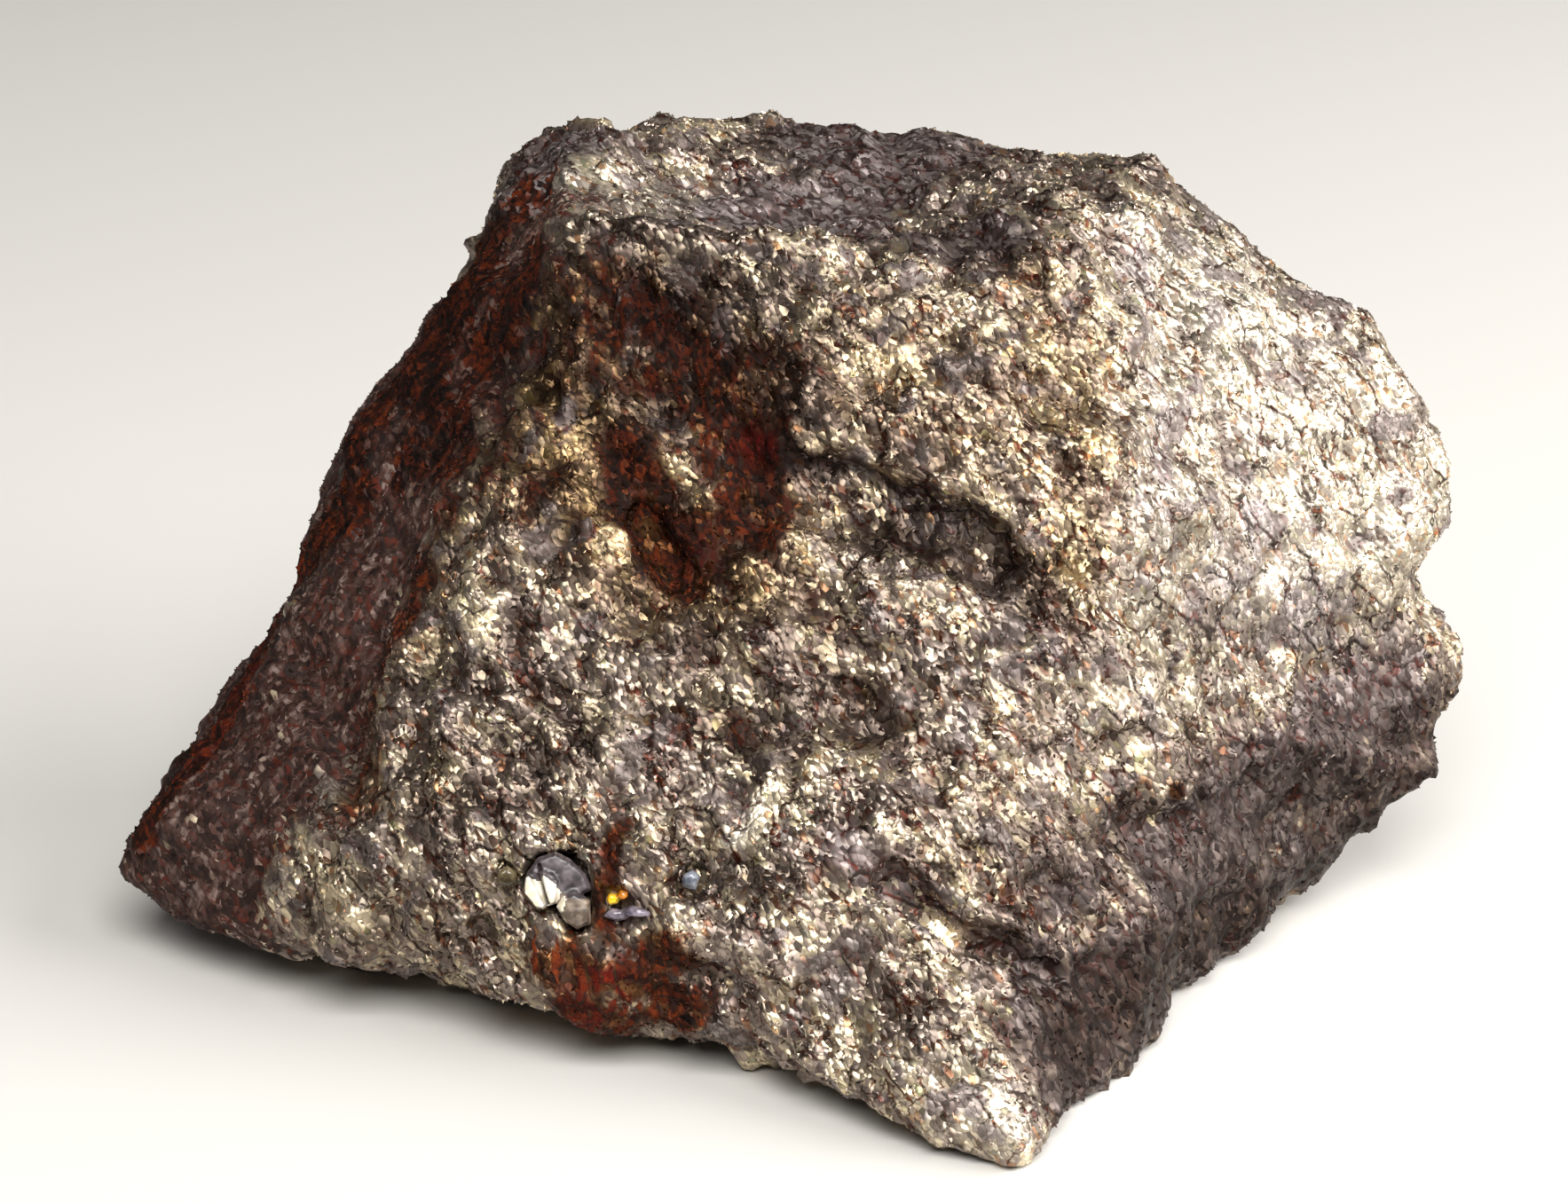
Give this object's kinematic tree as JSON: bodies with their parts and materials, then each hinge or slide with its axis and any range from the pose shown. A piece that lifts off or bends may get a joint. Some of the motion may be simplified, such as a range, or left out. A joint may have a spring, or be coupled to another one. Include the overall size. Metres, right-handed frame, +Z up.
{
  "type": "chalcopyrite mineral specimen",
  "caption": "Hand specimen of massive granular copper ore: a broken, brassy lump with rust-stained faces and small quartz grains in a pocket, resting on its flattest face.",
  "frame": {"origin": "middle of the specimen's bounding box, on the surface it rests on", "axes": "+Z up from the resting face, +X along the longest extent to the right of the main view, -Y towards the viewer of the main face"},
  "size_m": [0.0904, 0.0734, 0.0486],
  "materials": {
    "ore": "granular metallic sulphide, brassy to grey, with rust-brown iron oxide stains",
    "quartz": "milky grey, vitreous, part cloudy",
    "lilac_quartz": "pale lilac grey, vitreous",
    "amber_quartz": "iron-stained amber, vitreous",
    "olive_quartz": "olive brown, vitreous"
  },
  "bodies": {
    "root": {"ore_mass": "ore", "quartz_cluster": "quartz", "quartz_chip": "lilac_quartz", "quartz_speck": "lilac_quartz", "amber_grain": "amber_quartz", "olive_grain": "olive_quartz"}
  },
  "joints": []
}
